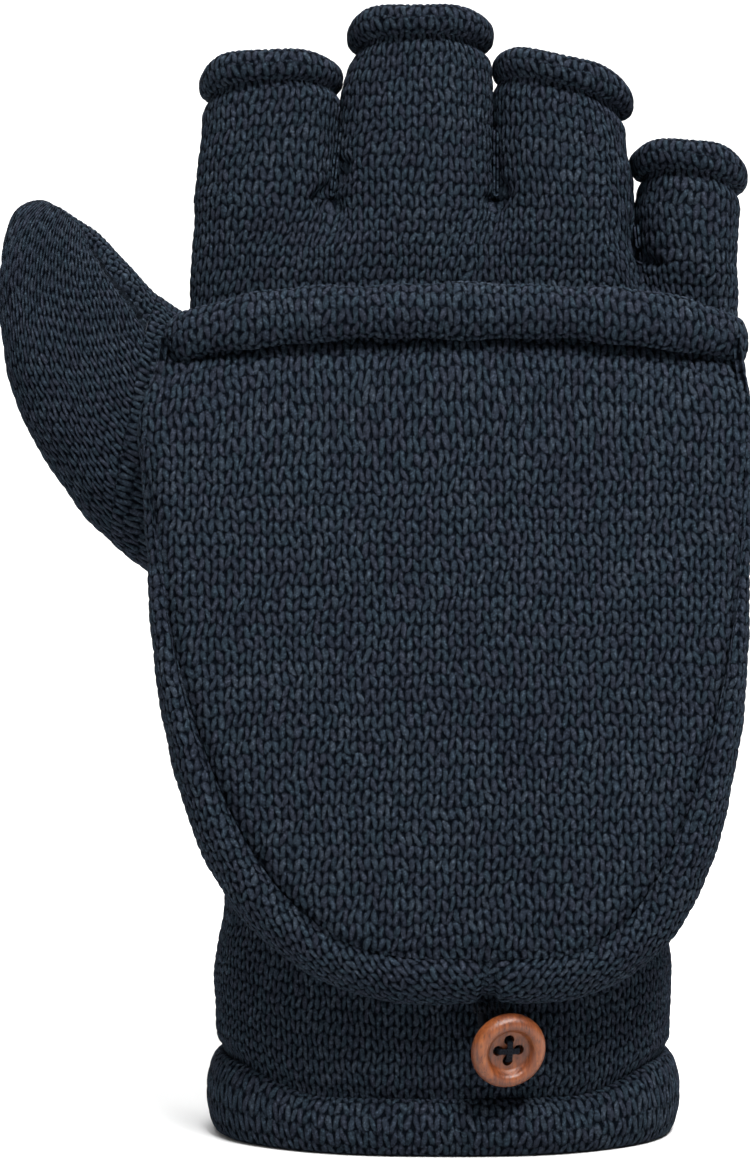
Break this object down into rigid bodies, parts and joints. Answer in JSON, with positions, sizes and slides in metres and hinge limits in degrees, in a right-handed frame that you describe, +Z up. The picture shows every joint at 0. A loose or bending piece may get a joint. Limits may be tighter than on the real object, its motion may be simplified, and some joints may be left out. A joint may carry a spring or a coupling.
{
  "type": "convertible flip-top mitten",
  "caption": "Knitted right-hand mitten with open finger stalls, a closed thumb and a flip-back cap held by an elastic loop on a wooden button.",
  "frame": {"origin": "middle of the foot of the cuff, on the surface the mitten stands on", "axes": "+Z up the fingers, -Y out of the back of the hand where the cap folds, -X towards the thumb"},
  "size_m": [0.148, 0.0699, 0.2214],
  "materials": {
    "knit": "dark navy heather stockinette sweater knit",
    "fleece": "brushed dark fleece",
    "wood": "satin turned wood",
    "thread": "dark sewing thread",
    "elastic": "braided elastic cord"
  },
  "bodies": {
    "hand": {"back_panel": "knit", "palm_panel": "knit", "back_lining": "fleece", "palm_lining": "fleece", "index_stall": "knit", "middle_stall": "knit", "ring_stall": "knit", "little_stall": "knit", "index_hem": "knit", "middle_hem": "knit", "ring_hem": "knit", "little_hem": "knit", "index_lining": "fleece", "middle_lining": "fleece", "ring_lining": "fleece", "little_lining": "fleece", "index_middle_gusset": "knit", "middle_ring_gusset": "knit", "ring_little_gusset": "knit", "cuff_hem": "knit", "thumb_gusset": "knit", "cap_seam_piping": "knit", "thread_shank": "thread"},
    "thumb": {"thumb_back_panel": "knit", "thumb_palm_panel": "knit", "thumb_lining": "fleece"},
    "cap": {"cap_back_panel": "knit", "cap_back_lining": "fleece", "cap_band_left": "knit", "cap_band_right": "knit", "button_loop": "elastic", "loop_stay": "thread"},
    "cap_front": {"cap_front_panel": "knit", "cap_front_lining": "fleece", "cap_mouth_hem": "knit"},
    "button": {"button": "wood", "button_thread": "thread"}
  },
  "joints": [
    {"name": "cap_flip", "type": "hinge", "parent": "hand", "child": "cap", "pos_m": [0, -0.0191, 0.15], "axis": [-1, 0, 0], "range_deg": [0, 176], "deforming": ["cap_band_left", "cap_band_right", "cap_front_panel", "cap_front_lining", "cap_mouth_hem", "button_loop"]},
    {"name": "cap_mouth", "type": "slide", "parent": "cap", "child": "cap_front", "axis": [0, -0.996, 0.0889], "range_m": [0, 0.023]},
    {"name": "thumb_swing", "type": "hinge", "parent": "hand", "child": "thumb", "pos_m": [-0.05, 0, 0.14], "axis": [0, -1, 0], "range_deg": [-8, 20], "deforming": ["thumb_gusset"]},
    {"name": "button_tilt", "type": "hinge", "parent": "hand", "child": "button", "pos_m": [0.0108, -0.0311, 0.0217], "axis": [1, 0, 0], "range_deg": [-8, 8]}
  ],
  "couplings": [
    {"joint": "cap_mouth", "follows": "cap_flip", "m_per_rad": 0.007485}
  ]
}
